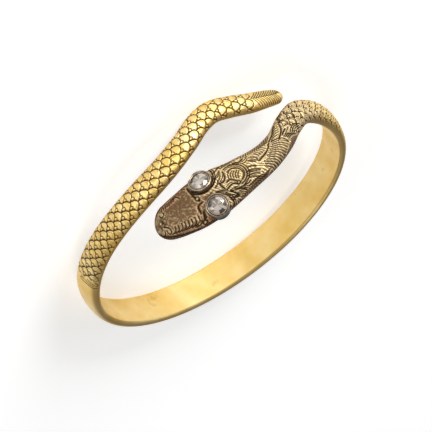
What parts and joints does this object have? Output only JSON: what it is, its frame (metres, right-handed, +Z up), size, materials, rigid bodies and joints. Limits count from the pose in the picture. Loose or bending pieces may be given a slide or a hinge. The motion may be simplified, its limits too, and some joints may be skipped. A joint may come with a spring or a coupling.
{
  "type": "snake bangle",
  "caption": "Open gold bangle that passes itself across the front: a scaled tapering tail on one end and a flat snake head with round cut stones for eyes on the other.",
  "frame": {"origin": "middle of the bangle's box on the surface that it lies on", "axes": "+X across the width of the wrist, to the side that the snout points to; +Y from the crossing at the front to the plain back; +Z up, nearly along the wrist"},
  "size_m": [0.0646, 0.0592, 0.0244],
  "materials": {
    "gold": "polished yellow gold with engraved scales",
    "worn_gold": "engraved gold under a dark brown worn patina",
    "stone": "cut and polished colourless stone"
  },
  "bodies": {
    "root": {"snake": "gold", "eye_stone_near": "stone", "eye_stone_far": "stone"}
  },
  "joints": []
}
